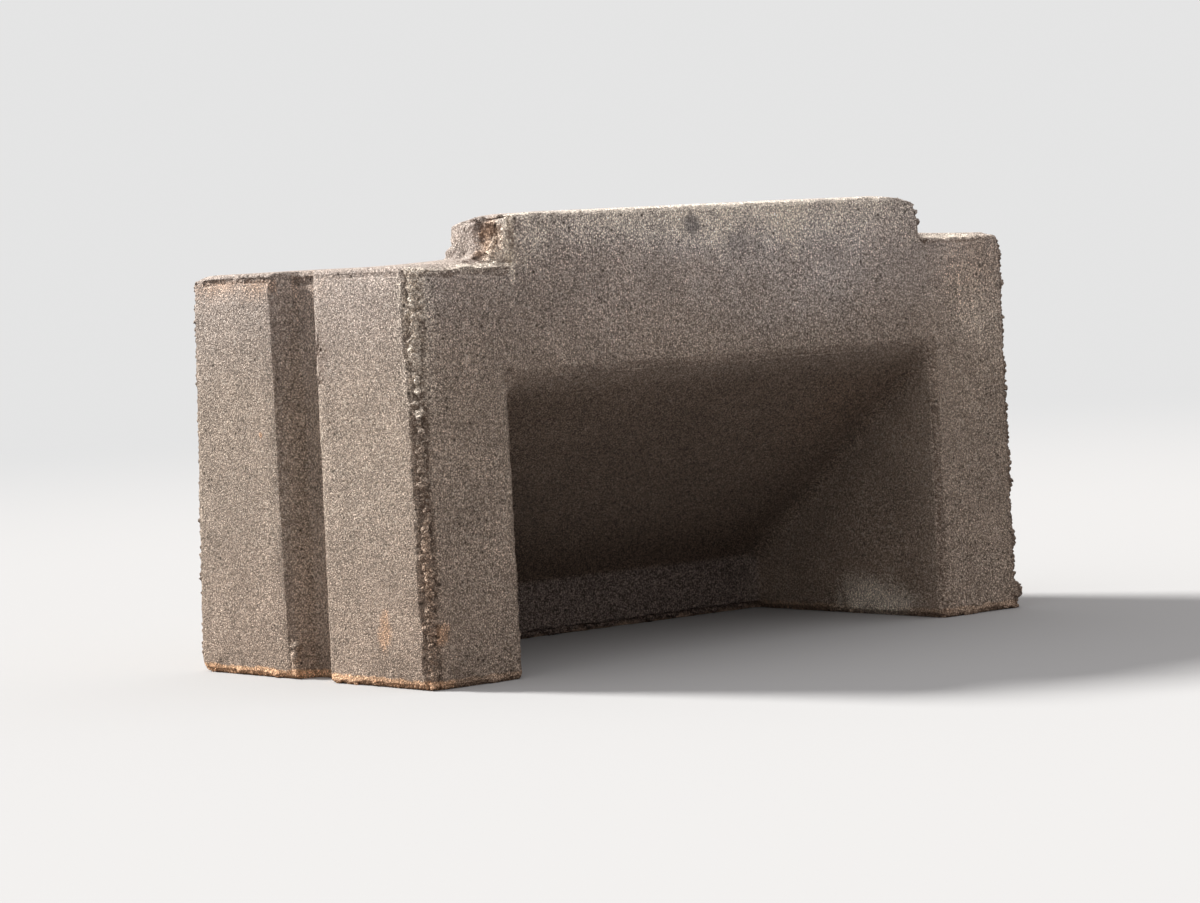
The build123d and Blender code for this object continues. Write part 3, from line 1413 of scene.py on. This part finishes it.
@dataclass(frozen=True)
class FloorFinish:
    """A pale floor that runs out into the background."""

    colour: Colour = (0.40, 0.40, 0.40)
    bounce: Colour = (0.190, 0.171, 0.163)
    horizon: Colour = (0.78, 0.78, 0.78)
    fade_start: float = 0.7
    fade_end: float = 2.6

    def material(self) -> bpy.types.Material:
        """Build the material.

        Returns:
            The finished material.
        """
        bench = NodeBench(bpy.data.materials.new("pale_floor"))
        ray = bench.add("LightPath")
        seen = bench.math("MAXIMUM", ray["Is Camera Ray"], ray["Is Glossy Ray"])
        seen = bench.math("MAXIMUM", seen, ray["Is Transmission Ray"])
        matt = bench.wire("BsdfDiffuse", 0, bench.blend(seen, self.bounce, self.colour))
        glow = bench.wire("Emission", 0, self.horizon)
        away = bench.vector("LENGTH", "Value", bench.place)
        far = bench.spread(away, self.fade_start, self.fade_end)
        return bench.finish(bench.wire("MixShader", 0, far * seen, matt, glow))


@dataclass
class Studio:
    """The floor, the light and the background round the block."""

    finish: FloorFinish
    floor_radius: float = 12.0
    key_from: Place = (-0.285, 0.77, 0.57)
    key_strength: float = 7.6
    key_angle: float = 12.0
    key_colour: Colour = (1.0, 0.985, 0.96)
    ambient: Colour = (1.0, 0.972, 0.975)
    zenith_strength: float = 1.0
    horizon_strength: float = 0.445

    def floor(self) -> None:
        """Lay the floor."""
        shape = bmesh.new()
        bmesh.ops.create_circle(shape, cap_ends=True, segments=96, radius=self.floor_radius)
        mesh = bpy.data.meshes.new("floor")
        shape.to_mesh(mesh)
        shape.free()
        mesh.materials.append(self.finish.material())
        floor = add_object("floor", mesh)

    def lamp(self) -> None:
        """Hang one soft lamp behind the block, above it and to its left."""
        lamp = bpy.data.lights.new("key_lamp", "SUN")
        lamp.energy = self.key_strength
        lamp.color = self.key_colour
        lamp.angle = math.radians(self.key_angle)
        holder = add_object("key_lamp", lamp)
        holder.rotation_euler = Vector(self.key_from).to_track_quat("Z", "Y").to_euler()

    def background(self) -> None:
        """Light the room, more from above, and show the camera a pale background."""
        bench = NodeBench(bpy.data.worlds.new("room"))
        ray = bench.add("LightPath")
        seen = bench.math("MAXIMUM", ray["Is Camera Ray"], ray["Is Glossy Ray"])
        upward = bench.wire("SeparateXYZ", "Z", bench.wire("TexCoord", "Generated"))
        strength = bench.spread(upward, 0.0, 0.9, (self.horizon_strength, self.zenith_strength))
        light = bench.wire("Background", 0, self.ambient, strength)
        shown = bench.wire("Background", 0, self.finish.horizon)
        bpy.context.scene.world = bench.finish(bench.wire("MixShader", 0, seen, light, shown))


@dataclass(frozen=True)
class Viewpoint:
    """Where the photograph was taken from, fitted to the block's corners."""

    aim: Place = (-0.08816, -0.0975, 0.10501)
    distance: float = 1.900
    azimuth: float = 39.79
    downward: float = 3.073
    roll: float = -3.029
    focal_pixels: float = 3909.6
    frame_pixels: float = 1200.0
    sensor_mm: float = 36.0
    clip_end: float = 100.0

    def camera(self) -> None:
        """Set up the scene's camera."""
        turn, down, roll = (math.radians(a) for a in (self.azimuth, self.downward, self.roll))
        ahead = Vector((math.sin(turn), math.cos(turn), 0.0))
        forward = ahead * math.cos(down) - Vector((0.0, 0.0, math.sin(down)))
        level = Vector((math.cos(turn), -math.sin(turn), 0.0))
        upward = level.cross(forward)
        right = level * math.cos(roll) + upward * math.sin(roll)
        up = upward * math.cos(roll) - level * math.sin(roll)
        data = bpy.data.cameras.new("viewpoint")
        data.sensor_width = self.sensor_mm
        data.lens = self.focal_pixels / self.frame_pixels * self.sensor_mm
        data.clip_end = self.clip_end
        camera = add_object("viewpoint", data)
        placed = Matrix((right, up, -forward)).transposed().to_4x4()
        placed.translation = Vector(self.aim) - forward * self.distance
        camera.matrix_world = placed
        bpy.context.scene.camera = camera


def main() -> None:
    """Build the scene."""
    logging.basicConfig(level=logging.INFO, format="%(name)s: %(message)s")
    bpy.context.scene.view_settings.view_transform = "Standard"
    Viewpoint().camera()
    studio = Studio(FloorFinish())
    studio.floor()
    studio.lamp()
    studio.background()

    cast = CastBlock(BlockSizes())
    block, crumbs = cast.build()
    concrete = ConcreteFinish(spots=tuple(cast.small_stains())).material()
    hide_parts(NODE)
    for piece in (block, crumbs):
        piece.data.materials.clear()
        piece.data.materials.append(concrete)
        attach(piece, BODY)
        log.info("%s: %d triangles", piece.name, len(piece.data.polygons))


if __name__ == "__main__":
    main()
